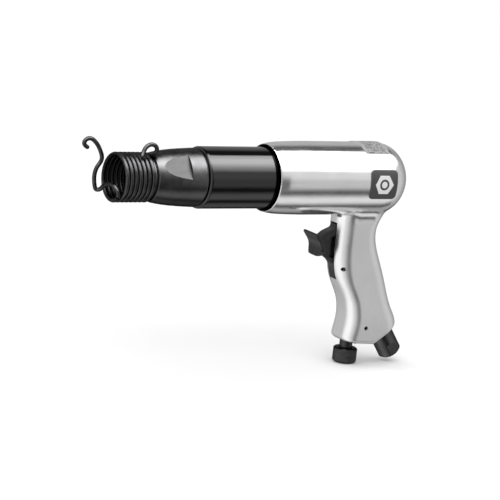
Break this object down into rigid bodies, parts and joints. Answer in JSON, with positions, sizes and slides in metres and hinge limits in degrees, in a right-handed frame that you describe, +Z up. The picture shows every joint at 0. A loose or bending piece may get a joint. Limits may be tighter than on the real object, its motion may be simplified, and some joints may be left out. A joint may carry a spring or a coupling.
{
  "type": "pneumatic air hammer",
  "caption": "Pistol-grip pneumatic hammer with a long barrel, spring chisel retainer with a hook latch, trigger, air regulator knob and threaded air inlet.",
  "frame": {"origin": "centre of the barrel's front face, on the barrel axis, at the mouth of the shank bore", "axes": "+X along the barrel out of the muzzle, +Y to the tool's left side, +Z up; the grip hangs towards -Z"},
  "size_m": [0.285, 0.0552, 0.17],
  "materials": {
    "cast_aluminium": "satin polished",
    "dark_steel": "satin dark",
    "bright_steel": "ground",
    "spring_steel": "black oxide",
    "black_steel": "black oxide",
    "black_gloss": "gloss",
    "black_plastic": "semi-gloss",
    "rubber": "matte",
    "brass": "turned",
    "badge_plate": "semi-gloss",
    "etched_plate": "etched"
  },
  "bodies": {
    "housing": {"housing": "cast_aluminium", "barrel": "dark_steel", "exhaust_sleeve": "black_gloss", "sleeve_seal": "rubber", "valve_block_front": "dark_steel", "valve_block_rear": "dark_steel", "valve_alignment_pin": "bright_steel", "valve_gasket": "rubber", "retainer_coil": "spring_steel", "trigger_pin": "dark_steel", "throttle_bushing": "brass", "throttle_spring": "bright_steel", "regulator_pin": "dark_steel", "passage_plug": "dark_steel", "inlet_bushing": "black_steel", "inlet_screen": "brass", "badge": "badge_plate", "rating_plate": "etched_plate"},
    "piston": {"piston": "bright_steel"},
    "valve_disc": {"valve_disc": "bright_steel"},
    "retainer_latch": {"retainer_latch": "spring_steel"},
    "trigger": {"trigger": "black_plastic"},
    "throttle_stem": {"throttle_stem": "bright_steel", "throttle_seal": "rubber"},
    "air_regulator": {"air_regulator": "black_steel", "regulator_o_ring": "rubber"}
  },
  "joints": [
    {"name": "piston_stroke", "type": "slide", "parent": "housing", "child": "piston", "axis": [1, 0, 0], "range_m": [0, 0.087]},
    {"name": "valve_disc_travel", "type": "slide", "parent": "housing", "child": "valve_disc", "axis": [1, 0, 0], "range_m": [0, 0.0012]},
    {"name": "latch_swing", "type": "hinge", "parent": "housing", "child": "retainer_latch", "pos_m": [0.017, 0.0113, -0.0116], "axis": [1, 0, 0], "range_deg": [0, 40], "stiffness_Nm_per_rad": 0.6},
    {"name": "trigger_pull", "type": "hinge", "parent": "housing", "child": "trigger", "pos_m": [-0.1811, 0, -0.0676], "axis": [0, -1, 0], "range_deg": [0, 9], "stiffness_Nm_per_rad": 1.2, "springref_deg": -2.86},
    {"name": "throttle_slide", "type": "slide", "parent": "housing", "child": "throttle_stem", "axis": [-1, 0, 0], "range_m": [0, 0.0036], "deforming": ["throttle_spring"]},
    {"name": "regulator_turn", "type": "hinge", "parent": "housing", "child": "air_regulator", "pos_m": [-0.199, 0, -0.13], "axis": [0, 0, -1], "range_deg": [0, 270]}
  ],
  "couplings": [
    {"joint": "throttle_slide", "follows": "trigger_pull", "m_per_rad": 0.0226}
  ]
}
